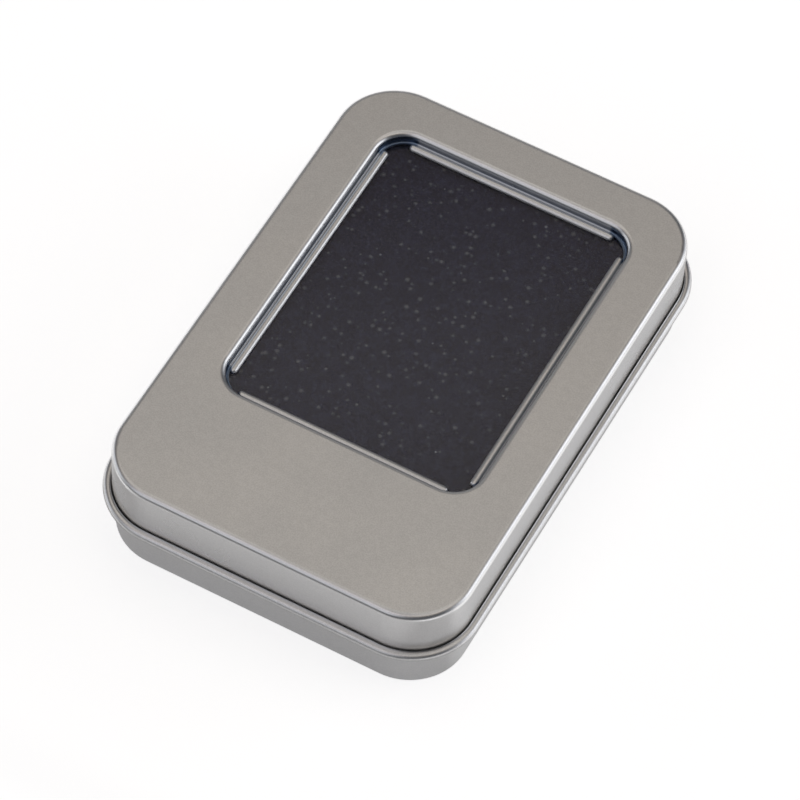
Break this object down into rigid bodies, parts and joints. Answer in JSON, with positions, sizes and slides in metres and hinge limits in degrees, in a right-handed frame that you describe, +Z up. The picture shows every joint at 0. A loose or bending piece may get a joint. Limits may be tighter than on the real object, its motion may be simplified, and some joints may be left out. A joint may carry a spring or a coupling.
{
  "type": "windowed metal tin",
  "caption": "Shallow rectangular tinplate box with rounded corners, a slip-over lid with a clear window and a curled lower edge, and a black foam filler.",
  "frame": {"origin": "middle of the tray's underside, on the surface that the closed tin stands on", "axes": "+Z up, out of the lid; X across the tin; +Y along the tin, towards the end that the window is nearer to"},
  "size_m": [0.0628, 0.091, 0.0183],
  "materials": {
    "tinplate": "satin",
    "clear_film": "gloss",
    "black_foam": "matte"
  },
  "bodies": {
    "tray": {"base_tray": "tinplate", "foam_insert": "black_foam"},
    "lid": {"lid_shell": "tinplate", "window_pane": "clear_film"}
  },
  "joints": [
    {"name": "lid_lift", "type": "slide", "parent": "tray", "child": "lid", "axis": [0, 0, 1], "range_m": [0, 0.03]}
  ]
}
